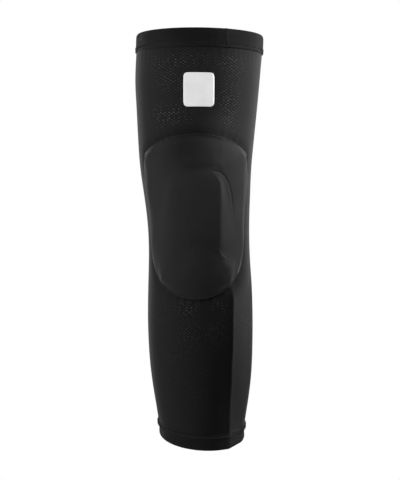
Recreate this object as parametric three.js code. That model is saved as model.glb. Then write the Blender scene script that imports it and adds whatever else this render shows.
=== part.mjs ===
// A padded knee sleeve in its worn form, on a leg whose knee is slightly bent: a knitted tube with a sewn
// band at each end, a moulded knee pad on its front and a plain reflective patch on the thigh.
// Millimetres, +Z up. The origin is the middle of the knee, inside the tube, and the front faces -Y.
import * as THREE from "three";
import { LoftGeometry } from "three/addons/geometries/LoftGeometry.js";
import { mergeVertices } from "three/addons/utils/BufferGeometryUtils.js";

// Driving dimensions
const sleeve = { top: 181.2, bottom: -236.3, wall: 1.5, rows: [7, 2, 14], facets: 60 };
const gap = 0.3;
const topBand = { edge: 198.4, seam: 181.5, lap: 3.6, thickness: 2.2, bead: 1.4, curl: 1.1 };
const bottomBand = { edge: -251, seam: -236.6, lap: 4, thickness: 2.2, bead: 2, curl: 0.8 };
const crest = { start: -64, full: -82, facet: 6, reach: 8 };
const bandFold = { tip: 0.9, tipLift: 0.3, slope: 0.5, slopeLift: 0.85, crown: 0.6, foot: 3.2 };
const bandEdge = { bend: 4, turn: 1.3, turned: 0.5, rounded: 0.5, thinned: 0.6 };
const pad = { middle: -2.7, gap: 0.7, edge: 1.4, arch: 2.2 };
const padSteps = { block: [0, 0.25, 0.5, 0.75, 1], bevel: [0.35, 0.7, 1] };
const padRim = { width: 4.2, flange: 1.6, share: 0.72, fromLip: 2.2, fromRim: 1.5, rise: 1.1 };
const padWing = [{ share: 0, height: 1 }, { share: 0.35, height: 1 }, { share: 0.7, height: 0.96 }];
const patch = { width: 33, height: 36, corner: 4, z: 132.5, x: 1, thickness: 0.4, columns: 6, row: 6 };

// The leg inside the sleeve, section by section from the thigh down. A section is an ellipse about (x, y),
// halfWidth to each side, with its own depth in front and behind. It leans back with the shin, and the
// thigh's end rolls a little to one side; both are in degrees.
const legRows = [
  { z: 198, x: 2.1, y: 0, halfWidth: 70.3, front: 72, back: 74, lean: 0, roll: 0.7 },
  { z: 176, x: 1.2, y: 0, halfWidth: 69.6, front: 72, back: 74, lean: 0, roll: 0.7 },
  { z: 150, x: -0.8, y: 0, halfWidth: 69.2, front: 71, back: 73, lean: 0, roll: 0.4 },
  { z: 117, x: -1.4, y: 0, halfWidth: 66.8, front: 68, back: 70, lean: 0, roll: 0.1 },
  { z: 83, x: -2.1, y: 0, halfWidth: 64.3, front: 65, back: 66, lean: 0, roll: 0 },
  { z: 50, x: -2.4, y: 0, halfWidth: 61.6, front: 62, back: 61.5, lean: 0, roll: 0 },
  { z: 17, x: -0.6, y: 0, halfWidth: 58.5, front: 60, back: 57.5, lean: 1, roll: 0 },
  { z: -10, x: 0.5, y: 0.8, halfWidth: 56.4, front: 58, back: 55, lean: 3, roll: 0 },
  { z: -43, x: 1.4, y: 4, halfWidth: 56.2, front: 55, back: 55, lean: 8, roll: 0 },
  { z: -77, x: 2.2, y: 10.5, halfWidth: 57.9, front: 53, back: 58.5, lean: 12, roll: 0 },
  { z: -110, x: 2.5, y: 17.8, halfWidth: 58.9, front: 52.5, back: 62, lean: 13, roll: 0 },
  { z: -145, x: 3.1, y: 25.8, halfWidth: 58.5, front: 52, back: 61, lean: 13, roll: 0 },
  { z: -180, x: 3.8, y: 34, halfWidth: 56.6, front: 50, back: 55.5, lean: 13, roll: 0 },
  { z: -214, x: 4.0, y: 42, halfWidth: 52.0, front: 46.5, back: 49.5, lean: 14, roll: 1.2 },
  { z: -251, x: 4.2, y: 50.5, halfWidth: 46.3, front: 44, back: 46, lean: 16, roll: 3.6 },
];

// The crest of the shin, in degrees: its angle round the leg, how far before it the front turns flat, and the
// angle at which the flat on its other side ends.
const crestRows = [
  { z: -82, angle: 36, flat: 24, end: 84 },
  { z: -150, angle: 36.2, flat: 20, end: 80 },
  { z: -205, angle: 38.2, flat: 15, end: 76 },
  { z: -251, angle: 40, flat: 11, end: 73 },
];

// The pad, row by row from its top edge down. Half widths are measured round the leg from the pad's middle to
// the centre block's edge, the sewn seam, the lip of the side wing and the pad's end; sag is how far a row's
// ends hang below its middle. Heights off the leg: the block's face, the sunk seam, the wing. The face is
// flattened by the share flat, from 0, round as the leg, to 1.
const padRows = [
  { z: 86, sag: 20, edge: 20, seam: 44, lip: 53, end: 67, face: 1.4, sunk: 1.4, wing: 1.4, flat: 0 },
  { z: 82.3, sag: 19.5, edge: 20, seam: 44, lip: 53, end: 67, face: 1.6, sunk: 1.8, wing: 2.2, flat: 0 },
  { z: 77, sag: 18, edge: 20, seam: 44, lip: 53, end: 67, face: 3.4, sunk: 4.2, wing: 5.4, flat: 0 },
  { z: 70, sag: 16, edge: 20, seam: 43, lip: 52, end: 67, face: 5.2, sunk: 6, wing: 6.8, flat: 0 },
  { z: 61.5, sag: 12.5, edge: 20, seam: 37, lip: 44, end: 66, face: 6.8, sunk: 7.2, wing: 7.6, flat: 0 },
  { z: 54, sag: 9, edge: 19, seam: 30, lip: 35, end: 65.5, face: 7.6, sunk: 7.7, wing: 8.1, flat: 0 },
  { z: 49, sag: 7, edge: 13, seam: 27, lip: 30.5, end: 65.5, face: 7.2, sunk: 7.6, wing: 8.4, flat: 0 },
  { z: 43.5, sag: 5, edge: 18, seam: 28.2, lip: 31.2, end: 65, face: 8.7, sunk: 8, wing: 8.7, flat: 0.3 },
  { z: 35, sag: 3, edge: 23.2, seam: 29.4, lip: 32.4, end: 64.5, face: 9.3, sunk: 8.3, wing: 8.9, flat: 0.5 },
  { z: 25, sag: 1, edge: 23.6, seam: 32, lip: 35, end: 63, face: 9.7, sunk: 8.1, wing: 8.7, flat: 0.5 },
  { z: 14, sag: 0, edge: 23.6, seam: 33.8, lip: 36.8, end: 61.5, face: 9.8, sunk: 7.9, wing: 8.4, flat: 0.5 },
  { z: 1, sag: 0, edge: 23.4, seam: 37, lip: 40, end: 60.5, face: 9.8, sunk: 7.3, wing: 7.8, flat: 0.5 },
  { z: -12, sag: 0, edge: 23.2, seam: 41, lip: 44, end: 60.5, face: 9.7, sunk: 6.7, wing: 7.1, flat: 0.5 },
  { z: -22, sag: 0, edge: 23, seam: 44, lip: 47, end: 60.5, face: 9.4, sunk: 6.3, wing: 6.6, flat: 0.5 },
  { z: -28, sag: 0, edge: 23, seam: 45, lip: 48, end: 60, face: 8.6, sunk: 6.1, wing: 6.4, flat: 0.4 },
  { z: -34, sag: 0, edge: 23.2, seam: 45, lip: 48, end: 59.5, face: 8.9, sunk: 5.9, wing: 6.2, flat: 0.3 },
  { z: -43, sag: -2, edge: 25, seam: 43.5, lip: 46.5, end: 58, face: 9.1, sunk: 5.7, wing: 6, flat: 0.25 },
  { z: -53, sag: -5, edge: 31.5, seam: 42, lip: 45, end: 55, face: 8.9, sunk: 5.5, wing: 5.7, flat: 0.15 },
  { z: -62, sag: -8, edge: 34.5, seam: 41, lip: 43.5, end: 52, face: 8, sunk: 5.2, wing: 5.2, flat: 0.1 },
  { z: -70, sag: -12, edge: 36.5, seam: 40.5, lip: 42, end: 48.5, face: 5.8, sunk: 4.2, wing: 4, flat: 0 },
  { z: -77, sag: -15.5, edge: 35, seam: 38, lip: 39, end: 45, face: 1.6, sunk: 1.6, wing: 1.6, flat: 0 },
  { z: -81, sag: -17, edge: 34, seam: 37, lip: 38, end: 44, face: 1.4, sunk: 1.4, wing: 1.4, flat: 0 },
];

const radians = THREE.MathUtils.degToRad;

// A smooth curve through a table's rows: every column at any height.
function smoothTable(rows) {
  const rising = rows[0].z < rows[1].z ? rows : [...rows].reverse();
  const columns = Object.keys(rows[0]).filter((column) => column !== "z");
  const values = rising.flatMap((row) => columns.map((column) => row[column]));
  const curve = new THREE.CubicInterpolant(rising.map((row) => row.z), values, columns.length);
  return (z) => {
    const found = curve.evaluate(z);
    return Object.fromEntries(columns.map((column, i) => [column, found[i]]));
  };
}

const legAt = smoothTable(legRows);
const crestAt = smoothTable(crestRows);

// Below the pad a crest runs down the front of the shin. On one side of it the front turns flat, and on the
// other a flat runs straight from the crest to the side of the leg.
function crestBulge(angle, z) {
  const row = crestAt(Math.min(z, crest.full));
  const ridge = radians(row.angle);
  const flat = radians(row.flat);
  const end = radians(row.end);
  const onset = 1 - THREE.MathUtils.smoothstep(z, crest.full, crest.start);
  const peak = 1 / Math.cos(flat);
  let reach = 1;
  if (angle <= ridge) {
    reach = 1 / Math.cos(Math.max(flat - (ridge - angle), 0));
  } else if (angle < end) {
    reach = (peak * Math.sin(end - ridge)) / (peak * Math.sin(angle - ridge) + Math.sin(end - angle));
  }
  return 1 + onset * (reach - 1);
}

// A point of the leg's surface. The angle runs from the front towards +X.
function legPoint(angle, z) {
  const { x, y, halfWidth, front, back, lean, roll } = legAt(z);
  const bulge = crestBulge(angle, z);
  const ahead = Math.cos(angle);
  const across = halfWidth * Math.sin(angle) * bulge;
  const depth = -(ahead > 0 ? front : back) * ahead * bulge;
  const tilt = radians(lean);
  const rise = depth * Math.sin(tilt) - across * Math.sin(radians(roll));
  return new THREE.Vector3(x + across, y + depth * Math.cos(tilt), z + rise);
}

// The same point lifted off the leg along the surface's normal.
function lifted(angle, z, lift) {
  const turn = 0.01;
  const step = 0.5;
  const round = legPoint(angle + turn, z).sub(legPoint(angle - turn, z));
  const up = legPoint(angle, z + step).sub(legPoint(angle, z - step));
  const normal = round.cross(up).normalize();
  return legPoint(angle, z).addScaledVector(normal, lift);
}

// The angle of a ring's corner. The corners near the crest follow it down the shin.
function cornerAngle(i, z) {
  const step = (Math.PI * 2) / sleeve.facets;
  const shift = radians(crestAt(Math.min(z, crest.full)).angle) - crest.facet * step;
  return i * step + shift * Math.max(1 - Math.abs(i - crest.facet) / crest.reach, 0);
}

// A closed ring round the leg. The profile gives the wall's corners in turn, as height and lift.
function ring(profile) {
  const sections = [...profile, profile[0]].map(([z, lift]) =>
    Array.from({ length: sleeve.facets }, (_, i) => lifted(cornerAngle(i, z), z, lift)));
  const loft = new THREE.BufferGeometry().copy(new LoftGeometry(sections));
  loft.deleteAttribute("normal");
  loft.deleteAttribute("uv");
  return mergeVertices(loft, 1e-3);
}

// A closed slab between two grids of points of the same size.
function slab(over, under) {
  const rows = over.length;
  const columns = over[0].length;
  const index = [];
  const at = (side, j, i) => (side * rows + j) * columns + i;
  const quad = (a, b, c, d) => index.push(a, b, c, a, c, d);
  for (let j = 0; j < rows - 1; j += 1) {
    for (let i = 0; i < columns - 1; i += 1) {
      quad(at(0, j, i), at(0, j + 1, i), at(0, j + 1, i + 1), at(0, j, i + 1));
      quad(at(1, j, i), at(1, j, i + 1), at(1, j + 1, i + 1), at(1, j + 1, i));
    }
    quad(at(0, j, 0), at(1, j, 0), at(1, j + 1, 0), at(0, j + 1, 0));
    quad(at(0, j, columns - 1), at(0, j + 1, columns - 1), at(1, j + 1, columns - 1), at(1, j, columns - 1));
  }
  for (let i = 0; i < columns - 1; i += 1) {
    quad(at(0, 0, i), at(0, 0, i + 1), at(1, 0, i + 1), at(1, 0, i));
    quad(at(0, rows - 1, i), at(1, rows - 1, i), at(1, rows - 1, i + 1), at(0, rows - 1, i + 1));
  }
  const geometry = new THREE.BufferGeometry().setFromPoints([over, under].flat(2));
  geometry.setIndex(index);
  return geometry;
}

// The knitted tube: up its outside and down its inside.
function sleeveBody() {
  const marks = [sleeve.bottom, crest.full, crest.start, sleeve.top];
  const heights = [sleeve.bottom];
  marks.slice(1).forEach((end, i) => {
    const steps = sleeve.rows[i];
    for (let step = 1; step <= steps; step += 1) {
      heights.push(THREE.MathUtils.lerp(marks[i], end, step / steps));
    }
  });
  const outside = heights.map((z) => [z, 0]);
  const inside = heights.reverse().map((z) => [z, -sleeve.wall]);
  return ring([...outside, ...inside]);
}

// A folded band whose edge curls in a little, and whose rolled seam laps over the end of the tube.
function bandProfile({ edge, seam, lap, thickness, bead, curl }) {
  const up = Math.sign(edge - seam);
  const outer = thickness - sleeve.wall;
  const inner = -sleeve.wall;
  const profile = [
    [seam, inner],
    [seam, gap],
    [seam - up * lap, gap],
    [seam - up * lap * bandFold.tip, gap + bandFold.tipLift],
    [seam - up * lap * bandFold.slope, bead * bandFold.slopeLift],
    [seam + up * bandFold.crown, bead],
    [seam + up * bandFold.foot, outer],
    [edge - up * bandEdge.bend, outer],
    [edge - up * bandEdge.turn, outer - curl * bandEdge.turned],
    [edge, outer - curl - bandEdge.rounded],
    [edge, inner - curl + bandEdge.thinned],
    [edge - up * bandEdge.turn, inner - curl * bandEdge.turned],
    [edge - up * bandEdge.bend, inner],
  ];
  return up > 0 ? profile : profile.reverse();
}

// The moulded pad: each row of the table is a profile across the pad, laid on the leg.
function kneePad() {
  const over = [];
  const under = [];
  for (const row of padRows) {
    const leg = legAt(row.z);
    const radius = (leg.halfWidth + leg.front) / 2;
    const middle = Math.asin((pad.middle - leg.x) / leg.halfWidth);
    const rim = Math.max(row.end - padRim.width, row.lip + padRim.fromLip);
    const flange = Math.max(row.end - padRim.flange, rim + padRim.fromRim);
    const flatten = (reach) => row.flat * radius * (1 - Math.cos(reach / radius));
    const block = (share) => [row.edge * share, row.face + flatten(row.edge * share)];
    const bevel = (share) => [
      THREE.MathUtils.lerp(row.edge, row.seam, share),
      THREE.MathUtils.lerp(block(1)[1], row.sunk, share),
    ];
    const wing = ({ share, height }) => [THREE.MathUtils.lerp(row.lip, rim, share), row.wing * height];
    const half = [
      ...padSteps.block.map(block),
      ...padSteps.bevel.map(bevel),
      ...padWing.map(wing),
      [rim, Math.max(row.wing * padRim.share, pad.edge)],
      [flange, pad.edge * padRim.rise],
      [row.end, pad.edge],
    ];
    const across = [...half.slice(1).reverse().map(([reach, height]) => [-reach, height]), ...half];
    const place = (reach, height) => {
      const hang = row.sag * Math.abs(reach / row.end) ** pad.arch;
      return lifted(middle + reach / radius, row.z - hang, height);
    };
    over.push(across.map(([reach, height]) => place(reach, height)));
    under.push(across.map(([reach]) => place(reach, pad.gap)));
  }
  return slab(over, under);
}

// The reflective patch: an upright rectangle with round corners that follows the thigh.
function thighPatch() {
  const { width, height, corner, z, x, thickness, columns, row } = patch;
  const turns = [0, 0.3, 0.6, 1].map((share) => share * Math.PI / 2);
  const rounded = turns.map((turn) => [
    height / 2 - corner * (1 - Math.cos(turn)),
    width / 2 - corner * (1 - Math.sin(turn)),
  ]);
  const straight = [row, 0, -row].map((up) => [up, width / 2]);
  const rows = [...rounded, ...straight, ...rounded.map(([up, half]) => [-up, half]).reverse()];
  const grid = (lift) => rows.map(([up, half]) => Array.from({ length: columns + 1 }, (_, i) => {
    const leg = legAt(z + up);
    const reach = x - leg.x + half * (2 * i / columns - 1);
    return lifted(reach / leg.halfWidth, z + up, lift);
  }));
  return slab(grid(gap + thickness), grid(gap));
}

const knit = { color: 0x1a1a1c, roughness: 0.85, metalness: 0 };
const elastic = { color: 0x161617, roughness: 0.75, metalness: 0 };
const jersey = { color: 0x1d1d1f, roughness: 0.7, metalness: 0 };
const silver = { color: 0xcfcfd0, roughness: 0.45, metalness: 0 };

const kneeSleeve = new THREE.Group();
kneeSleeve.name = "padded_knee_sleeve";

function piece(name, geometry, look) {
  geometry.computeVertexNormals();
  const mesh = new THREE.Mesh(geometry, new THREE.MeshStandardMaterial(look));
  mesh.name = name;
  kneeSleeve.add(mesh);
}

piece("sleeve_body", sleeveBody(), knit);
piece("top_band", ring(bandProfile(topBand)), elastic);
piece("bottom_band", ring(bandProfile(bottomBand)), elastic);
piece("knee_pad", kneePad(), jersey);
piece("reflective_patch", thighPatch(), silver);

export default kneeSleeve;
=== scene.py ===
# Dresses the padded knee sleeve: knitted tube, elastic bands, covered pad, reflective patch and thread.
import math

import bmesh
import bpy
import numpy as np
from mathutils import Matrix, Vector, noise
from mathutils.bvhtree import BVHTree


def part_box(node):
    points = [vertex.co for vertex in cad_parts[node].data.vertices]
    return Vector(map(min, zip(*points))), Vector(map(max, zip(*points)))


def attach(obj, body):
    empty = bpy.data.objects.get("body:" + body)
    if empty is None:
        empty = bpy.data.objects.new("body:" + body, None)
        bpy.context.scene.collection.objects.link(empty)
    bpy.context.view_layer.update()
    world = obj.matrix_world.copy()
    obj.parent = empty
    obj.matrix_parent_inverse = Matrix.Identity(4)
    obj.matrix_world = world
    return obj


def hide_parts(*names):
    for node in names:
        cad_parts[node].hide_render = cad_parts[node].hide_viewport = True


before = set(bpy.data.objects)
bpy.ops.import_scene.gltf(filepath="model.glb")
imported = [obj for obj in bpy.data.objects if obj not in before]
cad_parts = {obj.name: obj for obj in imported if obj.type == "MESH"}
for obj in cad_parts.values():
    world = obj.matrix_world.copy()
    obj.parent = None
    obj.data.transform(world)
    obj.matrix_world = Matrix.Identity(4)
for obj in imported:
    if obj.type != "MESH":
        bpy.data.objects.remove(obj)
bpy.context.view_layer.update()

print("frame loaded:", sorted(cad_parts))

# The leg's middle line: straight down the thigh, then bending back with the shin
legBend = {"height": -0.020, "softness": 0.020}
thighEnd = np.mean([list(corner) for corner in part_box("top_band")], axis=0)
shinEnd = np.mean([list(corner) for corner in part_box("bottom_band")], axis=0)
shinSlope = shinEnd[1] / (legBend["height"] - shinEnd[2])


def legMiddle(height):
    below = (legBend["height"] - height) / legBend["softness"]
    back = shinSlope * legBend["softness"] * np.logaddexp(0, below)
    slope = shinSlope / (1 + np.exp(-below))
    side = np.interp(height, [shinEnd[2], 0, thighEnd[2]], [shinEnd[0], 0, thighEnd[0]])
    return side, back, slope


# Angle round the leg (0 in front, rising towards +X), station along it and distance from its middle
def legCoords(points):
    side, back, slope = legMiddle(points[:, 2])
    across = points[:, 0] - side
    ahead = back - points[:, 1]
    return np.arctan2(across, ahead), points[:, 2] + ahead * slope, np.hypot(across, ahead)


def legRay(angle, station):
    side, back, slope = (float(value) for value in legMiddle(station))
    lean = math.atan(slope)
    ahead = math.cos(angle)
    out = Vector((math.sin(angle), -ahead * math.cos(lean), -ahead * math.sin(lean)))
    return Vector((side, back, station)), out


def smoothRise(values, low, high):
    share = np.clip((values - low) / (high - low), 0, 1)
    return share * share * (3 - 2 * share)


def hump(values, middle, width):
    return np.exp(-((values - middle) / width) ** 2)


# 1 on the front of the leg, falling to 0 at its sides
frontEdge = (-1.6, -1.2)


def inFront(points):
    return smoothRise(-np.abs(legCoords(points)[0]), *frontEdge)


# Mesh helpers
def pointsOf(mesh):
    found = np.empty(len(mesh.vertices) * 3)
    mesh.vertices.foreach_get("co", found)
    return found.reshape(-1, 3)


def normalsOf(mesh):
    found = np.empty(len(mesh.vertices) * 3)
    mesh.vertex_normals.foreach_get("vector", found)
    return found.reshape(-1, 3)


def movePoints(mesh, points):
    mesh.vertices.foreach_set("co", points.ravel())
    mesh.update()


def addPiece(name, mesh):
    piece = bpy.data.objects.new(name, mesh)
    bpy.context.scene.collection.objects.link(piece)
    return piece


mergeDistance = 1e-6
quadAngle = 3.1


# A merged copy of a CAD node, its triangles joined to quads and its sharp edges creased
def cadCopy(node, name, softTo, sharpFrom, crease, share=lambda place: 1.0):
    shape = bmesh.new()
    shape.from_mesh(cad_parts[node].data)
    bmesh.ops.remove_doubles(shape, verts=shape.verts, dist=mergeDistance)
    bmesh.ops.join_triangles(shape, faces=shape.faces, angle_face_threshold=quadAngle,
                             angle_shape_threshold=quadAngle, topology_influence=2.0)
    creases = shape.edges.layers.float.new("crease_edge")
    for edge in shape.edges:
        bend = math.degrees(edge.calc_face_angle(0))
        middle = (edge.verts[0].co + edge.verts[1].co) / 2
        edge[creases] = min(crease * share(middle) * max((bend - softTo) / (sharpFrom - softTo), 0), 1)
    mesh = bpy.data.meshes.new(name)
    shape.to_mesh(mesh)
    shape.free()
    return addPiece(name, mesh)


# The modifiers of a piece become its plain mesh
def applyModifiers(piece):
    graph = bpy.context.evaluated_depsgraph_get()
    mesh = bpy.data.meshes.new_from_object(piece.evaluated_get(graph))
    piece.modifiers.clear()
    piece.data = mesh
    mesh.name = piece.name


def subdivide(piece, levels):
    rounding = piece.modifiers.new("rounding", "SUBSURF")
    rounding.levels = rounding.render_levels = levels
    applyModifiers(piece)


# The fabric's own UV map: u counts repeats round the leg, v repeats along it
def layFabric(piece, repeatsRound, repeatLength):
    mesh = piece.data
    angle, station, _ = legCoords(pointsOf(mesh))
    corners = np.empty(len(mesh.loops), dtype=np.int32)
    mesh.loops.foreach_get("vertex_index", corners)
    starts = np.empty(len(mesh.polygons), dtype=np.int32)
    sizes = np.empty(len(mesh.polygons), dtype=np.int32)
    mesh.polygons.foreach_get("loop_start", starts)
    mesh.polygons.foreach_get("loop_total", sizes)
    first = np.repeat(angle[corners[starts]], sizes)
    turn = first + (angle[corners] - first + math.pi) % math.tau - math.pi  # a face at the back stays whole
    layer = mesh.uv_layers.new(name="fabric")
    uv = np.column_stack((turn / math.tau * repeatsRound, station[corners] / repeatLength))
    layer.data.foreach_set("uv", uv.ravel())


# A value stored on a mesh, from soft spots in the front view. A row is x, z, half width, half height, amount
def storeSpots(piece, name, spots, added=0):
    points = pointsOf(piece.data)
    total = sum(amount * hump(points[:, 0], x, wide) * hump(points[:, 2], z, tall)
                for x, z, wide, tall, amount in spots)
    layer = piece.data.attributes.new(name, "FLOAT", "POINT")
    layer.data.foreach_set("value", (total + added) * inFront(points))


def surfaceOf(piece):
    return BVHTree.FromObject(piece, bpy.context.evaluated_depsgraph_get())


# A path drawn in the front view (x, z), laid on a piece and divided finely
def layPath(piece, path, step=0.0005):
    surface = surfaceOf(piece)
    laid = []
    for (x0, z0), (x1, z1) in zip(path, path[1:]):
        count = max(int(math.hypot(x1 - x0, z1 - z0) / step), 1)
        for part in range(count):
            share = part / count
            start = Vector((x0 + (x1 - x0) * share, -0.3, z0 + (z1 - z0) * share))
            place, _, _, _ = surface.ray_cast(start, Vector((0, 1, 0)))
            if place:
                laid.append(place)
    return laid


# How near each point is to a laid path: 1 on it, falling to 0 over the width
def nearPath(points, laid, width):
    nearest = np.full(len(points), np.inf)
    for place in laid:
        nearest = np.minimum(nearest, ((points - np.array(place)) ** 2).sum(axis=1))
    return np.exp(-nearest / width ** 2)


def waves(points, size, seed):
    shift = Vector((seed * 7.3, seed * 3.1, seed * 5.7))
    return np.array([noise.noise(Vector(point) / size + shift) for point in points])


# Shader maths: a socket that takes part in Python expressions
class Value:
    def __init__(self, finish, socket):
        self.finish = finish
        self.socket = socket

    def maths(self, operation, *others):
        inputs = dict(enumerate((self, *others)))
        return self.finish.node("ShaderNodeMath", {"operation": operation}, inputs)

    def __add__(self, other):
        return self.maths("ADD", other)

    def __radd__(self, other):
        return self.maths("ADD", other)

    def __sub__(self, other):
        return self.maths("SUBTRACT", other)

    def __rsub__(self, other):
        return self.finish.node("ShaderNodeMath", {"operation": "SUBTRACT"}, {0: other, 1: self})

    def __mul__(self, other):
        return self.maths("MULTIPLY", other)

    def __rmul__(self, other):
        return self.maths("MULTIPLY", other)

    def __truediv__(self, other):
        return self.maths("DIVIDE", other)

    def __pow__(self, other):
        return self.maths("POWER", other)

    def cosine(self):
        return self.maths("COSINE")

    def clamped(self):
        return self.maths("MINIMUM", 1).maths("MAXIMUM", 0)


class Finish:
    def __init__(self, name, **constants):
        self.material = bpy.data.materials.new(name)
        self.material.use_nodes = True
        self.tree = self.material.node_tree
        self.shader = self.tree.nodes["Principled BSDF"]
        for socket, value in constants.items():
            self.shader.inputs[socket.replace("_", " ")].default_value = value

    # Any node: its type, its settings, the values or links of its sockets, and the output that is wanted
    def node(self, kind, settings=None, inputs=None, output=0):
        made = self.tree.nodes.new(kind)
        for setting, value in (settings or {}).items():
            setattr(made, setting, value)
        for socket, value in (inputs or {}).items():
            self.feed(made.inputs[socket], value)
        return Value(self, made.outputs[output])

    def feed(self, socket, value):
        if isinstance(value, Value):
            self.tree.links.new(value.socket, socket)
        else:
            socket.default_value = value

    def fabricUv(self):
        uv = self.node("ShaderNodeUVMap", {"uv_map": "fabric"})
        split = [self.node("ShaderNodeSeparateXYZ", None, {0: uv}, output=axis) for axis in (0, 1)]
        return uv, split[0], split[1]

    def places(self):
        return self.node("ShaderNodeTexCoord", output="Object")

    def noise(self, vector, scale, detail=2.0):
        inputs = {"Vector": vector, "Scale": scale, "Detail": detail}
        return self.node("ShaderNodeTexNoise", None, inputs, output="Fac")

    def mixColour(self, share, first, second):
        settings = {"data_type": "RGBA"}
        return self.node("ShaderNodeMix", settings, {0: share, 6: first, 7: second}, output=2)

    # A value stored on the mesh
    def stored(self, name):
        return self.node("ShaderNodeAttribute", {"attribute_name": name}, output="Fac")

    # Painted light and shade: the colour is made paler where the stored value is above 0 and darker where it
    # is below
    def withPaintedLightAndShade(self, colour):
        scale = {0: colour, "Scale": (self.stored("paintedLightAndShade") + 1).maths("MAXIMUM", 0)}
        return self.node("ShaderNodeVectorMath", {"operation": "SCALE"}, scale)

    def paint(self, colour):
        self.feed(self.shader.inputs["Base Color"], colour)

    # Roughness that varies with a pattern, by half the spread to each side
    def roughen(self, middle, pattern, spread):
        self.feed(self.shader.inputs["Roughness"], middle + pattern * spread - spread / 2)

    def bump(self, height, depth):
        inputs = {"Height": height, "Distance": depth, "Strength": 1.0}
        self.feed(self.shader.inputs["Normal"], self.node("ShaderNodeBump", None, inputs))


def grey(tone, warm=0.0):
    return (tone * (1 + warm), tone, tone * (1 - warm), 1)


clothSheenRoughness = 0.45

# Knit of the tube: raised oval stitches in staggered rows on a darker ground; the pale stitch dots are partly
# the yarn's pattern, partly painted glints on the raised loops
knitLook = {
    "hole": 0.0008, "ground": 0.0044, "stitch": 0.062, "cool": -0.01, "depth": 0.0002,
    "roughness": 0.78, "uneven": 0.12, "sheen": 0.055, "shine": 0.11,
    "peak": 4, "dip": 2, "patchScale": 34.0, "eachScale": 1.7, "yarnScale": 7.0, "least": 0.06,
}


def knitFinish():
    finish = Finish("blackKnit", Specular_IOR_Level=knitLook["shine"], Sheen_Weight=knitLook["sheen"],
                    Sheen_Roughness=clothSheenRoughness)
    uv, across, along = finish.fabricUv()
    lattice = (across * math.tau).cosine() * (along * math.tau).cosine()
    raised = (lattice * 0.5 + 0.5) ** knitLook["peak"]
    sunk = (0.5 - lattice * 0.5) ** knitLook["dip"]
    cloud = (finish.noise(finish.places(), knitLook["patchScale"]) * 2.2 - 0.95).clamped()
    patchy = (cloud * 0.5 + finish.stored("glintDots")).clamped()
    each = (finish.noise(uv, knitLook["eachScale"], 0.0) * 9.0 - 4.3).clamped()
    yarn = finish.noise(uv, knitLook["yarnScale"], 3.0)
    bright = (raised * (patchy * each + knitLook["least"])).clamped()
    hollow = (sunk * (patchy * 0.9 + knitLook["least"])).clamped()
    hole, plain, stitch = (grey(knitLook[tone], knitLook["cool"]) for tone in ("hole", "ground", "stitch"))
    colour = finish.mixColour(bright, finish.mixColour(hollow, plain, hole), stitch)
    finish.paint(finish.withPaintedLightAndShade(colour))
    finish.roughen(knitLook["roughness"], yarn, knitLook["uneven"])
    finish.bump(raised * (patchy * 0.7 + 0.3) + yarn * 0.35, knitLook["depth"])
    return finish.material


# Elastic of the bands: smooth, with fine upright ribs, lighter towards the seam where the knit laps in
elasticLook = {
    "top": {"tone": 0.0020, "seamTone": 0.0040, "seamFrom": 0.190, "seamTo": 0.180,
            "sheen": 0.016, "shine": 0.05},
    "bottom": {"tone": 0.0052, "seamTone": 0.0052, "seamFrom": -0.250, "seamTo": -0.236,
               "sheen": 0.03, "shine": 0.085},
    "depth": 0.00025, "roughness": 0.74, "uneven": 0.16, "ribs": 3, "yarnScale": 14.0,
    "darker": 0.25, "lighter": 0.006,
}


def elasticFinish(name, look):
    finish = Finish(name, Specular_IOR_Level=look["shine"], Sheen_Weight=look["sheen"],
                    Sheen_Roughness=clothSheenRoughness)
    uv, across, _ = finish.fabricUv()
    rib = (across * (elasticLook["ribs"] * math.tau)).cosine() * 0.5 + 0.5
    yarn = finish.noise(uv, elasticLook["yarnScale"], 3.0)
    height = finish.node("ShaderNodeSeparateXYZ", None, {0: finish.places()}, output=2)
    toSeam = ((height - look["seamFrom"]) / (look["seamTo"] - look["seamFrom"])).clamped()
    plain = finish.mixColour(toSeam, grey(look["tone"]), grey(look["seamTone"]))
    dark = finish.mixColour(elasticLook["darker"], plain, grey(0.0))
    light = finish.mixColour(elasticLook["lighter"], plain, grey(1.0))
    finish.paint(finish.withPaintedLightAndShade(finish.mixColour(rib * yarn, dark, light)))
    finish.roughen(elasticLook["roughness"], yarn, elasticLook["uneven"])
    finish.bump(rib + yarn * 0.5, elasticLook["depth"])
    return finish.material


# Cover of the pad: fine smooth jersey, wales up the leg and courses across
jerseyLook = {
    "tone": 0.0091, "darkest": 0.6, "palest": 1.4, "depth": 0.00016, "roughness": 0.72, "uneven": 0.16,
    "sheen": 0.05, "shine": 0.12, "yarnScale": 1.6, "cloudScale": 30.0,
}


def jerseyFinish():
    finish = Finish("padJersey", Specular_IOR_Level=jerseyLook["shine"], Sheen_Weight=jerseyLook["sheen"],
                    Sheen_Roughness=clothSheenRoughness)
    uv, across, along = finish.fabricUv()
    wale = (across * math.tau).cosine()
    course = (along * math.tau + wale * 0.9).cosine()
    loops = wale * 0.35 + course * 0.25 + 0.5
    yarn = finish.noise(uv, jerseyLook["yarnScale"], 3.0)
    cloud = finish.noise(finish.places(), jerseyLook["cloudScale"])
    share = (loops * 0.5 + yarn * 0.3 + cloud * 0.3).clamped()
    dark, pale = (grey(jerseyLook["tone"] * jerseyLook[end]) for end in ("darkest", "palest"))
    finish.paint(finish.withPaintedLightAndShade(finish.mixColour(share, dark, pale)))
    finish.roughen(jerseyLook["roughness"], yarn, jerseyLook["uneven"])
    finish.bump(loops + yarn * 0.6, jerseyLook["depth"])
    return finish.material


# Reflective film: pale grey with fine glass beads, the knit pressing through a little
filmLook = {
    "tone": 0.62, "darkest": 0.86, "palest": 1.12, "depth": 0.00010, "roughness": 0.42, "uneven": 0.2,
    "shine": 0.5, "beadScale": 26.0, "cloudScale": 55.0,
}


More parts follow.
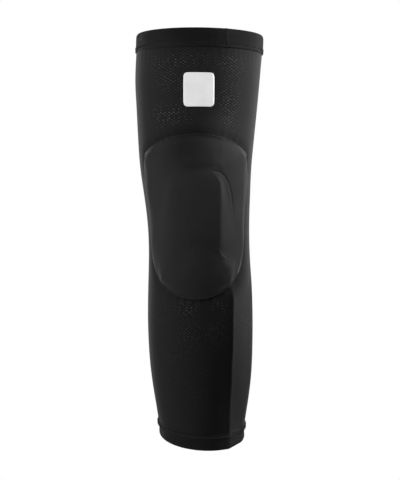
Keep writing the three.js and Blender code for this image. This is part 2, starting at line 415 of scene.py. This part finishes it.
def filmFinish():
    finish = Finish("reflectiveFilm", Specular_IOR_Level=filmLook["shine"])
    uv, across, along = finish.fabricUv()
    press = (across * math.tau).cosine() * (along * math.tau).cosine()
    beads = finish.noise(uv, filmLook["beadScale"])
    cloud = finish.noise(finish.places(), filmLook["cloudScale"], 3.0)
    share = (cloud * 0.8 + beads * 0.4 - 0.1 + press * 0.06).clamped()
    dark, pale = (grey(filmLook["tone"] * filmLook[end]) for end in ("darkest", "palest"))
    finish.paint(finish.mixColour(share, dark, pale))
    finish.roughen(filmLook["roughness"], beads, filmLook["uneven"])
    finish.bump(beads * 0.5 + press * 0.6, filmLook["depth"])
    return finish.material


# Sewing thread, with a fine fuzz
threadLook = {
    "seam": {"tone": 0.009, "roughness": 0.6, "shine": 0.2},
    # The edge thread's pale tone is partly the thread's colour, partly a painted highlight along the pad's
    # side rims
    "edge": {"tone": 0.10, "roughness": 0.38, "shine": 0.7},
    "darkest": 0.6, "palest": 1.5, "uneven": 0.2, "fuzzScale": 2600.0, "depth": 0.0001,
}


def threadFinish(name, look):
    finish = Finish(name, Specular_IOR_Level=look["shine"])
    fuzz = finish.noise(finish.places(), threadLook["fuzzScale"], 3.0)
    dark, pale = (grey(look["tone"] * threadLook[end]) for end in ("darkest", "palest"))
    finish.paint(finish.mixColour(fuzz, dark, pale))
    finish.roughen(look["roughness"], fuzz, threadLook["uneven"])
    finish.bump(fuzz, threadLook["depth"])
    return finish.material


knitMaterial = knitFinish()
topElastic = elasticFinish("topElastic", elasticLook["top"])
bottomElastic = elasticFinish("bottomElastic", elasticLook["bottom"])
jerseyMaterial = jerseyFinish()
filmMaterial = filmFinish()
seamThread = threadFinish("seamThread", threadLook["seam"])
edgeThread = threadFinish("edgeThread", threadLook["edge"])
print("finishes ready")


# The pad's edge, all round: the upper corners of its thin side wall, in turn
padMiddle = (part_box("knee_pad")[0][0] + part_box("knee_pad")[1][0]) / 2
wallTilt = 0.3


def findOutline(node):
    shape = bmesh.new()
    shape.from_mesh(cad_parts[node].data)
    bmesh.ops.remove_doubles(shape, verts=shape.verts, dist=mergeDistance)
    corners = set()
    for face in shape.faces:
        angle, _, distance = legCoords(np.array([face.calc_center_median()]))
        outward = Vector((math.sin(angle[0]), -math.cos(angle[0]), 0))
        if abs(face.normal.dot(outward)) < wallTilt:
            upper = legCoords(np.array([corner.co for corner in face.verts]))[2] > distance[0]
            corners.update(tuple(corner.co) for corner, above in zip(face.verts, upper) if above)
    shape.free()
    return [Vector(corner) for corner in sorted(corners, key=lambda at: math.atan2(at[2], at[0] - padMiddle))]


padOutline = findOutline("knee_pad")
print("pad outline of", len(padOutline), "corners")

# The crest of the shin is drawn a little sideways, by rows of (z, shift)
crestDraw = {
    "x": 0.038, "reach": 0.011,
    "shift": ((-0.250, -0.0004), (-0.235, -0.0009), (-0.222, -0.0019), (-0.210, -0.0024),
              (-0.165, -0.0024), (-0.150, -0.0016), (-0.105, -0.0013), (-0.085, 0)),
}


def drawCrest(points):
    shift = np.interp(points[:, 2], *zip(*crestDraw["shift"]))
    shift = shift * hump(points[:, 0], crestDraw["x"], crestDraw["reach"])
    return np.outer(shift * inFront(points), (1, 0, 0))


# The knitted tube. A fold behind the knee is height, width, depth; crease is softTo, sharpFrom, amount
tube = {
    "levels": 2, "crease": (9, 28, 0.9), "stitchesRound": 78, "stitchRow": 0.0032,
    "slow": 0.0004, "slowSize": 0.045, "slowSquash": (1, 1, 0.6),
    "padSides": (1.15, 1.45), "padEnds": (0.09, 0.11), "hems": (-0.23, 0.178), "hemReach": 0.02,
    "backFold": 0.0014, "behind": (1.7, 2.5), "drift": 0.010, "driftSize": 0.05,
    "folds": ((0.022, 0.007, -0.8), (0.004, 0.006, -1.0), (-0.014, 0.007, -0.9), (-0.032, 0.008, -0.5)),
    "padTuck": 0.0016, "tuckWidth": 0.0060,
    "gather": 0.00012, "gathers": 57, "gatherAt": (0.172, -0.226), "gatherReach": 0.008,
    "gatherWander": 3, "gatherSize": 0.03,
    # paintedLightAndShade rows: painted light and shade on the knit, paler where light falls and darker where
    # shade falls
    "paintedLightAndShade": ((0.0240, 0.088, 0.017, 0.022, 2.2), (0.0100, 0.178, 0.060, 0.009, -0.5),
                (0.0620, 0.130, 0.012, 0.055, -0.7), (0.0270, -0.196, 0.014, 0.060, -0.85),
                (0.0410, -0.145, 0.0075, 0.085, -0.80)),
    # glintDots rows: where more of the pale stitch dots show, partly the yarn's pattern and partly painted
    # glints
    "glintDots": ((-0.022, 0.164, 0.026, 0.008, 0.9), (0.034, 0.163, 0.015, 0.008, 0.9),
             (-0.032, 0.142, 0.017, 0.011, 0.6), (-0.032, 0.106, 0.018, 0.011, 1.0),
             (0.036, 0.123, 0.010, 0.030, 0.8), (-0.011, -0.103, 0.010, 0.009, 1.0),
             (0.024, -0.100, 0.010, 0.006, 0.9), (-0.011, -0.131, 0.010, 0.024, 0.6),
             (0.019, -0.130, 0.011, 0.013, 0.6), (0.050, -0.120, 0.009, 0.019, 0.6)),
    # Painted shade in the valley along the pad's top edge: its amount, width and the heights where it starts
    "valleyShade": 0.7, "valleyShadeWidth": 0.006, "valleyShadeFrom": (0.055, 0.070),
}


def makeSleeve():
    piece = cadCopy("sleeve_body", "knitTube", *tube["crease"])
    subdivide(piece, tube["levels"])
    mesh = piece.data
    points = pointsOf(mesh)
    angle, station, _ = legCoords(points)
    side, back, _ = legMiddle(points[:, 2])
    out = np.column_stack((points[:, 0] - side, points[:, 1] - back, np.zeros(len(points))))
    out /= np.linalg.norm(out, axis=1)[:, None]
    besidePad = smoothRise(np.abs(angle), *tube["padSides"])
    clearOfPad = np.clip(besidePad + smoothRise(np.abs(station), *tube["padEnds"]), 0, 1)
    low, high = tube["hems"]
    reach = tube["hemReach"]
    clearOfHems = smoothRise(high - station, 0.0, reach) * smoothRise(station - low, 0.0, reach)
    slow = waves(points * tube["slowSquash"], tube["slowSize"], 1)
    behind = smoothRise(np.abs(angle), *tube["behind"])
    drift = waves(points * (1, 1, 0), tube["driftSize"], 2) * tube["drift"]
    folds = sum(hump(station + drift, height, width) * depth for height, width, depth in tube["folds"])
    lift = tube["slow"] * slow * clearOfPad * clearOfHems + tube["backFold"] * folds * behind
    lift -= tube["padTuck"] * nearPath(points, padOutline, tube["tuckWidth"])
    nearHems = sum(hump(station, hem, tube["gatherReach"]) for hem in tube["gatherAt"])
    wander = tube["gatherWander"] * waves(points, tube["gatherSize"], 3)
    lift += tube["gather"] * nearHems * np.cos(angle * tube["gathers"] + wander)
    movePoints(mesh, points + out * lift[:, None] + drawCrest(points))
    layFabric(piece, tube["stitchesRound"], tube["stitchRow"])
    # Painted shade along the pad's top edge: the knit darkened and its bright stitch dots thinned there
    valleyShaded = nearPath(points, padOutline, tube["valleyShadeWidth"]) * smoothRise(points[:, 2], *tube["valleyShadeFrom"])
    storeSpots(piece, "paintedLightAndShade", tube["paintedLightAndShade"], -tube["valleyShade"] * valleyShaded)
    storeSpots(piece, "glintDots", tube["glintDots"], -valleyShaded)
    return piece


# The two bands
bands = {
    "levels": 2, "crease": (20, 60, 0.5), "crestCrease": 2.6, "crestFrom": 0.031, "crestTo": 0.041,
    "ribsRound": 120, "ribLength": 0.004, "joinAngle": 24.4, "joinLift": 0.0004, "joinWidth": 0.0010,
    "pressed": 0.0015, "pressAt": 0.0026, "pressWidth": 0.0040, "pressedTo": (1.2, 1.55),
    "outside": (0.2, 0.6), "flare": 0.0014, "flareFrom": (0.005, 0.013),
    # Painted light and shade on the bands: a paler left end of the top band, paler flanks and a darker strip
    # beside the shin's crest on the bottom band
    "topPaintedLightAndShade": ((-0.0450, 0.190, 0.022, 0.03, 1.2),),
    "bottomPaintedLightAndShade": ((0.0430, -0.238, 0.012, 0.02, 1.0), (-0.0405, -0.237, 0.008, 0.02, 0.8),
                      (0.0300, -0.241, 0.010, 0.02, -0.9)),
}


# Where the tube ends, as station by angle: the corners of its end faces
def tubeEnd(up):
    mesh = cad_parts["sleeve_body"].data
    ends = {corner for face in mesh.polygons if face.normal.z * up > 0.8 for corner in face.vertices}
    angle, station, _ = legCoords(pointsOf(mesh)[sorted(ends)])
    order = np.argsort(angle)
    return angle[order], station[order]


# The bottom band is creased more sharply where the crest of the shin runs into it
def bandCrease(place):
    onCrest = place.z < 0 and bands["crestFrom"] < place.x < bands["crestTo"]
    return bands["crestCrease"] if onCrest else 1.0


# The front of a band's seam is pressed flatter than its sides. For the top band up is 1, and it has a join
def makeBand(node, name, up):
    piece = cadCopy(node, name, *bands["crease"], bandCrease)
    subdivide(piece, bands["levels"])
    points, out = pointsOf(piece.data), normalsOf(piece.data)
    angle, station, distance = legCoords(points)
    join = hump((angle - math.radians(bands["joinAngle"])) * distance, 0, bands["joinWidth"])
    angles, stations = tubeEnd(up)
    fromSeam = station - np.interp(angle, angles, stations, period=math.tau)
    front = 1 - smoothRise(np.abs(angle), *bands["pressedTo"])
    onOutside = smoothRise(out[:, 0] * np.sin(angle) - out[:, 1] * np.cos(angle), *bands["outside"])
    pressed = bands["pressed"] * hump(fromSeam, -up * bands["pressAt"], bands["pressWidth"])
    lift = bands["joinLift"] * join * (up > 0) - pressed * front * onOutside
    flareSize = bands["flare"] if up < 0 else 0
    flare = np.sin(angle) * smoothRise(np.abs(fromSeam), *bands["flareFrom"]) * flareSize
    movePoints(piece.data, points + out * lift[:, None] + np.outer(flare, (1, 0, 0)) + drawCrest(points))
    layFabric(piece, bands["ribsRound"], bands["ribLength"])
    # Painted light and shade on the band
    storeSpots(piece, "paintedLightAndShade", bands["topPaintedLightAndShade" if up > 0 else "bottomPaintedLightAndShade"])
    return piece


# The pad under its jersey: foam blocks pressed out between sewn lines. Paths are in the front view (x, z)
padForm = {
    "levels": 2, "crease": (8, 40, 0.85), "blockCrease": 1.4, "rimCrease": 1.0, "otherCrease": 0.25,
    "blockAcross": (0.015, 0.045), "blockSpan": (-0.080, 0.050), "rimFrom": 0.045, "rimSpan": (-0.055, 0.075),
    "walesRound": 330, "courseLength": 0.0009, "turned": (-0.5, 0.1), "sewnWidth": 0.003, "face": (0.1, -0.1),
    "seamPath": ((0.0160, 0.0460), (0.0223, 0.0454), (0.0281, 0.0412), (0.0334, 0.0327), (0.0364, 0.0200),
                 (0.0378, 0.0060), (0.0388, -0.0080)),
    "seamDepth": 0.0006, "seamWidth": 0.0009, "seamFade": (-0.008, 0.020),
    "easeLeft": (-0.008, -0.018), "easeRight": (0.0262, 0.0290), "easeRounds": 120, "easeFactor": 0.5,
    "easeToRim": (0.052, 0.046), "easeToEnd": (-0.075, -0.060),
    # Painted shade along the cover's top edge, with its width and the heights where it starts
    "edgeShade": 0.7, "edgeWidth": 0.003, "edgeFrom": (0.062, 0.074),
    "cornerAt": (0.0297, -0.0574), "cornerReach": 0.009, "cornerShift": 0.0028,
    # Painted light and shade on the cover: darker patches on the upper flap, the block and the left rim,
    # paler patches on the right face and streaks where the rims catch light
    "paintedLightAndShade": ((-0.0150, 0.070, 0.022, 0.019, -0.70), (-0.0085, 0.0506, 0.014, 0.0042, -0.25),
                (-0.0020, -0.031, 0.015, 0.0055, -0.18), (-0.0510, 0.071, 0.007, 0.007, -0.6),
                (0.0245, -0.058, 0.008, 0.015, 0.40), (0.0300, -0.033, 0.006, 0.022, 0.45),
                (0.0212, 0.055, 0.006, 0.008, 0.50), (0.0424, 0.002, 0.005, 0.013, 0.50),
                (-0.0500, -0.030, 0.005, 0.010, -0.30), (-0.0480, -0.052, 0.004, 0.014, 0.50)),
    "puckerPath": ((0.0235, -0.0415), (0.0262, -0.0452), (0.0290, -0.0482)),
    "puckerLift": 0.0008, "puckerWidth": 0.0011,
    "dimple": (0.0196, -0.0428), "dimpleDepth": 0.0009, "dimpleSize": 0.0024,
    "puffFrames": 14, "puffPressure": 6.0, "puffMost": 0.0007,
}


# Creases: crisp on the right of the centre block and along the side rims, faint elsewhere
def padCrease(place):
    (left, right), (low, high) = padForm["blockAcross"], padForm["blockSpan"]
    block = left < place.x < right and low < place.z < high
    rimLow, rimHigh = padForm["rimSpan"]
    rim = abs(place.x - padMiddle) > padForm["rimFrom"] and rimLow < place.z < rimHigh
    return padForm["blockCrease" if block else "rimCrease" if rim else "otherCrease"]


# Cloth over foam: pressed out from inside, held along the sewn line, the rim and the back
def puffPad(piece, held):
    piece.vertex_groups.new(name="sewn")
    for index in np.nonzero(held > 0.02)[0]:
        piece.vertex_groups["sewn"].add([int(index)], float(held[index]), "REPLACE")
    cloth = piece.modifiers.new("puff", "CLOTH")
    cloth.settings.vertex_group_mass = "sewn"
    cloth.settings.use_pressure = True
    cloth.settings.uniform_pressure_force = padForm["puffPressure"]
    cloth.settings.effector_weights.gravity = 0
    cloth.point_cache.frame_end = padForm["puffFrames"]
    for number in range(1, padForm["puffFrames"] + 1):
        bpy.context.scene.frame_set(number)
    rest = pointsOf(piece.data)
    moved = pointsOf(piece.evaluated_get(bpy.context.evaluated_depsgraph_get()).data) - rest
    piece.modifiers.clear()
    piece.vertex_groups.clear()
    bpy.context.scene.frame_set(1)
    size = np.linalg.norm(moved, axis=1)
    most = padForm["puffMost"]
    print("pad puffed by", round(float(size.max()) * 1000, 2), "mm at most, kept to", most * 1000, "mm")
    return rest + moved * (most * np.tanh(size / most) / np.maximum(size, 1e-9))[:, None]


# Beside the block the cover lies smooth to the rim, and the block's lower corner is drawn sideways
def easePad(piece, held):
    points = pointsOf(piece.data)
    share = smoothRise(points[:, 0], *padForm["easeLeft"]) + smoothRise(points[:, 0], *padForm["easeRight"])
    insideRim = smoothRise(np.abs(points[:, 0] - padMiddle), *padForm["easeToRim"])
    share *= insideRim * smoothRise(points[:, 2], *padForm["easeToEnd"])
    share *= 1 - held
    group = piece.vertex_groups.new(name="eased")
    for index in np.nonzero(share > 0.01)[0]:
        group.add([int(index)], float(share[index]), "REPLACE")
    ease = piece.modifiers.new("ease", "SMOOTH")
    ease.factor = padForm["easeFactor"]
    ease.iterations = padForm["easeRounds"]
    ease.vertex_group = "eased"
    applyModifiers(piece)
    piece.vertex_groups.clear()


def makePad():
    piece = cadCopy("knee_pad", "kneePad", *padForm["crease"], padCrease)
    subdivide(piece, padForm["levels"])
    mesh = piece.data
    points = pointsOf(mesh)
    seam = layPath(piece, padForm["seamPath"])
    pucker = layPath(piece, padForm["puckerPath"])
    angle = legCoords(points)[0]
    outward = np.column_stack((np.sin(angle), -np.cos(angle), 0 * angle))
    facing = np.einsum("ij,ij->i", normalsOf(mesh), outward)
    turned = smoothRise(-facing, *padForm["turned"])
    movePoints(mesh, puffPad(piece, np.clip(turned + nearPath(points, seam, padForm["sewnWidth"]), 0, 1)))
    easePad(piece, turned)
    subdivide(piece, 1)
    mesh = piece.data
    points, out = pointsOf(mesh), normalsOf(mesh)
    sunk = nearPath(points, seam, padForm["seamWidth"]) * smoothRise(points[:, 2], *padForm["seamFade"])
    puckered = nearPath(points, pucker, padForm["puckerWidth"])
    lift = -padForm["seamDepth"] * sunk + padForm["puckerLift"] * puckered
    dimpleX, dimpleZ = padForm["dimple"]
    away = np.hypot(points[:, 0] - dimpleX, points[:, 2] - dimpleZ)
    lift -= padForm["dimpleDepth"] * np.exp(-(away / padForm["dimpleSize"]) ** 2)
    onFace = smoothRise(out[:, 1], *padForm["face"])
    cornerX, cornerZ = padForm["cornerAt"]
    toCorner = np.hypot(points[:, 0] - cornerX, points[:, 2] - cornerZ)
    shift = padForm["cornerShift"] * hump(toCorner, 0, padForm["cornerReach"]) * onFace
    movePoints(mesh, points + out * (lift * onFace)[:, None] + np.outer(shift, (1, 0, 0)))
    layFabric(piece, padForm["walesRound"], padForm["courseLength"])
    # Painted light and shade on the cover, with painted shade along its top edge
    atTop = smoothRise(points[:, 2], *padForm["edgeFrom"])
    topEdgeShade = nearPath(points, padOutline, padForm["edgeWidth"]) * atTop
    storeSpots(piece, "paintedLightAndShade", padForm["paintedLightAndShade"], -padForm["edgeShade"] * topEdgeShade)
    return piece


# The reflective patch
patchForm = {"levels": 2, "crease": (30, 80, 0.9)}


def makePatch():
    piece = cadCopy("reflective_patch", "thighPatch", *patchForm["crease"])
    subdivide(piece, patchForm["levels"])
    layFabric(piece, tube["stitchesRound"], tube["stitchRow"])
    return piece


def finishPiece(piece, material, node=None):
    piece.data.materials.clear()
    piece.data.materials.append(material)
    piece.data.shade_smooth()
    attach(piece, "root")
    if node:
        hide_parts(node)


sleevePiece = makeSleeve()
topBandPiece = makeBand("top_band", "topBand", 1)
bottomBandPiece = makeBand("bottom_band", "bottomBand", -1)
padPiece = makePad()
patchPiece = makePatch()
finishPiece(sleevePiece, knitMaterial, "sleeve_body")
finishPiece(topBandPiece, topElastic, "top_band")
finishPiece(bottomBandPiece, bottomElastic, "bottom_band")
finishPiece(padPiece, jerseyMaterial, "knee_pad")
finishPiece(patchPiece, filmMaterial, "reflective_patch")
print("cloth pieces made")

# Sewing: rows of stitches. A stitch lies along one direction on the surface and stands up from it
seams = {
    "pitch": 0.0026, "topCount": 148, "bottomCount": 116, "ladder": 0.0056, "slant": 16,
    "joinStitch": 0.0026, "joinSpan": (0.1855, 0.1975),
    "padStitch": 0.0031, "padPitch": 0.0034, "padInset": 0.0009, "padAbove": 0.001, "sideFrom": 0.046,
    "width": 0.00055, "height": 0.0005, "rayFrom": 0.2,
}


# A tree that lays one stitch on every guide point, turned by the point's own two directions
def stitchTree():
    tree = bpy.data.node_groups.new("stitchRow", "GeometryNodeTree")
    tree.interface.new_socket("Geometry", in_out="INPUT", socket_type="NodeSocketGeometry")
    for size in ("Length", "Width", "Height"):
        tree.interface.new_socket(size, in_out="INPUT", socket_type="NodeSocketFloat")
    tree.interface.new_socket("Thread", in_out="INPUT", socket_type="NodeSocketMaterial")
    tree.interface.new_socket("Geometry", in_out="OUTPUT", socket_type="NodeSocketGeometry")

    def add(kind, inputs=None, **settings):
        made = tree.nodes.new(kind)
        for setting, value in settings.items():
            setattr(made, setting, value)
        for socket, value in (inputs or {}).items():
            if isinstance(value, bpy.types.NodeSocket):
                tree.links.new(value, made.inputs[socket])
            else:
                made.inputs[socket].default_value = value
        return made

    given = add("NodeGroupInput").outputs
    ball = add("GeometryNodeMeshUVSphere", {"Segments": 6, "Rings": 5, "Radius": 0.5}).outputs["Mesh"]
    size = add("ShaderNodeCombineXYZ", {"X": given["Length"], "Y": given["Width"], "Z": given["Height"]})
    grain = add("GeometryNodeTransform", {"Geometry": ball, "Scale": size.outputs[0]}).outputs["Geometry"]
    ways = [add("GeometryNodeInputNamedAttribute", {"Name": name}, data_type="FLOAT_VECTOR").outputs[0]
            for name in ("along", "up")]
    turn = add("FunctionNodeAxesToRotation", {"Primary Axis": ways[0], "Secondary Axis": ways[1]},
               primary_axis="X", secondary_axis="Z").outputs[0]
    varied = add("FunctionNodeRandomValue", {"Min": (0.86, 0.85, 0.8), "Max": (1.1, 1.15, 1.2), "Seed": 7},
                 data_type="FLOAT_VECTOR").outputs[0]
    stitches = {"Points": given["Geometry"], "Instance": grain, "Rotation": turn, "Scale": varied}
    laid = add("GeometryNodeInstanceOnPoints", stitches).outputs[0]
    plain = add("GeometryNodeRealizeInstances", {"Geometry": laid}).outputs[0]
    sewn = add("GeometryNodeSetMaterial", {"Geometry": plain, "Material": given["Thread"]}).outputs[0]
    tree.links.new(sewn, add("NodeGroupOutput").inputs[0])
    return tree


stitching = stitchTree()


# Guide points as (place, along, up) become a piece of stitches
def sew(name, guides, length, thread):
    mesh = bpy.data.meshes.new(name)
    mesh.from_pydata([place for place, _, _ in guides], [], [])
    for title, column in (("along", 1), ("up", 2)):
        layer = mesh.attributes.new(title, "FLOAT_VECTOR", "POINT")
        layer.data.foreach_set("vector", [part for guide in guides for part in guide[column]])
    piece = addPiece(name, mesh)
    rows = piece.modifiers.new("stitches", "NODES")
    rows.node_group = stitching
    given = {"Length": length, "Width": seams["width"], "Height": seams["height"], "Thread": thread}
    for item in stitching.interface.items_tree:
        if item.in_out == "INPUT" and item.name in given:
            rows[item.identifier] = given[item.name]
    applyModifiers(piece)
    finishPiece(piece, thread)


# A ladder of slanted stitches round the leg, over the seam of a band
def seamGuides(piece, up, count):
    surface = surfaceOf(piece)
    angles, stations = tubeEnd(up)
    slant = math.radians(seams["slant"])
    guides = []
    for number in range(count):
        angle = math.tau * number / count
        middle, out = legRay(angle, float(np.interp(angle, angles, stations, period=math.tau)))
        place, normal, _, _ = surface.ray_cast(middle + out * seams["rayFrom"], -out)
        side = normal.cross(Vector((0, 0, 1))).normalized()
        guides.append((place, side.cross(normal) * math.cos(slant) + side * math.sin(slant), normal))
    return guides


# A running stitch along the pad's edge, all round it
def edgeGuides(piece, outline):
    surface = surfaceOf(piece)
    guides = []
    for before, after in zip(outline, outline[1:] + outline[:1]):
        count = max(round((after - before).length / seams["padPitch"]), 1)
        for part in range(count):
            edge = before.lerp(after, part / count)
            angle = legCoords(np.array([edge]))[0][0]
            out = Vector((math.sin(angle), -math.cos(angle), 0))
            inward = out.cross(after - before).normalized()
            start = edge + inward * seams["padInset"] + out * seams["padAbove"]
            place, normal, _, _ = surface.find_nearest(start)
            along = (after - before).normalized()
            guides.append((place, (along - normal * along.dot(normal)).normalized(), normal))
    return guides


# Level stitches up the join of the top band
def joinGuides(piece, low, high):
    surface = surfaceOf(piece)
    guides = []
    for station in np.arange(low, high, seams["pitch"]):
        middle, out = legRay(math.radians(bands["joinAngle"]), float(station))
        place, normal, _, _ = surface.ray_cast(middle + out * seams["rayFrom"], -out)
        guides.append((place, normal.cross(Vector((0, 0, 1))).normalized(), normal))
    return guides


topGuides = seamGuides(topBandPiece, 1, seams["topCount"])
sew("topSeamThread", topGuides, seams["ladder"], seamThread)
bottomGuides = seamGuides(bottomBandPiece, -1, seams["bottomCount"])
sew("bottomSeamThread", bottomGuides, seams["ladder"], seamThread)
joinRow = joinGuides(topBandPiece, *seams["joinSpan"])
sew("joinThread", joinRow, seams["joinStitch"], seamThread)
padGuides = edgeGuides(padPiece, padOutline)
# The pale edge thread goes only along the pad's sides, where it carries a painted highlight
atSides = [abs(place.x - padMiddle) > seams["sideFrom"] for place, _, _ in padGuides]
for threadName, thread, wanted in (("padSideThread", edgeThread, True), ("padEndThread", seamThread, False)):
    chosen = [guide for guide, side in zip(padGuides, atSides) if side == wanted]
    sew(threadName, chosen, seams["padStitch"], thread)
print("seams sewn")

# Camera, level with the knee's lower half, straight in front
cameraPlace = {"at": (0.0022, -1.665, -0.02775), "lens": 112.5, "sensor": 36.0}
cameraData = bpy.data.cameras.new("frontCamera")
cameraData.lens = cameraPlace["lens"]
cameraData.sensor_width = cameraPlace["sensor"]
camera = bpy.data.objects.new("frontCamera", cameraData)
camera.location = cameraPlace["at"]
camera.rotation_euler = (math.radians(90), 0, 0)
bpy.context.scene.collection.objects.link(camera)
bpy.context.scene.camera = camera

# Soft studio light: azimuth from the front towards +X, elevation, distance, size and power
lamps = {
    "sideRight": {"azimuth": 104, "elevation": 10, "distance": 1.3, "size": (0.35, 0.7), "power": 13.5},
    "nearRight": {"azimuth": 90, "elevation": 40, "distance": 0.7, "size": (0.3, 0.3), "power": 5.0},
    "nearFront": {"azimuth": 30, "elevation": 40, "distance": 0.7, "size": (0.3, 0.3), "power": 3.3},
    "front": {"azimuth": 0, "elevation": 5, "distance": 1.4, "size": (0.6, 0.6), "power": 4.6},
    "frontLeft": {"azimuth": -60, "elevation": 0, "distance": 1.3, "size": (0.35, 0.9), "power": 4.2},
    "sideLeft": {"azimuth": -80, "elevation": 0, "distance": 1.3, "size": (0.35, 0.9), "power": 15.0},
    "edgeLeft": {"azimuth": -120, "elevation": 30, "distance": 1.3, "size": (0.35, 0.9), "power": 3.0},
    "rimLeft": {"azimuth": -145, "elevation": 5, "distance": 1.3, "size": (0.35, 0.9), "power": 7.0},
    "rimRight": {"azimuth": 142, "elevation": 10, "distance": 1.3, "size": (0.35, 0.7), "power": 5.4},
    "backTop": {"azimuth": 180, "elevation": 40, "distance": 1.6, "size": (0.7, 0.7), "power": 18},
}
studio = {"ambient": 0.002, "background": 1.0, "floorHeight": -1.4, "floorSize": 2.1, "floorTone": 0.75}


def addLamp(name, azimuth, elevation, distance, size, power):
    data = bpy.data.lights.new(name, "AREA")
    data.shape = "RECTANGLE"
    data.size, data.size_y = size
    data.energy = power
    lamp = bpy.data.objects.new(name, data)
    turn, rise = math.radians(azimuth), math.radians(elevation)
    level = distance * math.cos(rise)
    lamp.location = (level * math.sin(turn), -level * math.cos(turn), distance * math.sin(rise))
    lamp.rotation_euler = (-lamp.location).to_track_quat("-Z", "Y").to_euler()
    lamp.visible_camera = False
    bpy.context.scene.collection.objects.link(lamp)


for lampName, lampValues in lamps.items():
    addLamp(lampName, **lampValues)


# A white surround that lights less than it shows
def makeSurround():
    world = bpy.data.worlds.new("whiteSurround")
    bpy.context.scene.world = world
    world.use_nodes = True
    nodes, links = world.node_tree.nodes, world.node_tree.links
    seen = nodes.new("ShaderNodeLightPath")
    level = nodes.new("ShaderNodeMix")
    level.inputs[2].default_value = studio["ambient"]
    level.inputs[3].default_value = studio["background"]
    links.new(seen.outputs["Is Camera Ray"], level.inputs[0])
    nodes["Background"].inputs["Color"].default_value = (1, 1, 1, 1)
    links.new(level.outputs[0], nodes["Background"].inputs["Strength"])


# A pale floor that throws light up and isn't seen itself
def makeFloor():
    half = studio["floorSize"]
    mesh = bpy.data.meshes.new("paleFloor")
    corners = [(-half, -half), (half, -half), (half, half), (-half, half)]
    mesh.from_pydata([(x, y, studio["floorHeight"]) for x, y in corners], [], [(0, 1, 2, 3)])
    floor = addPiece("paleFloor", mesh)
    floor.visible_camera = False
    finish = Finish("paleFloorPaint", Roughness=0.9)
    finish.shader.inputs["Base Color"].default_value = grey(studio["floorTone"])
    mesh.materials.append(finish.material)


makeSurround()
makeFloor()
bpy.context.scene.view_settings.view_transform = "Standard"
print("studio ready")
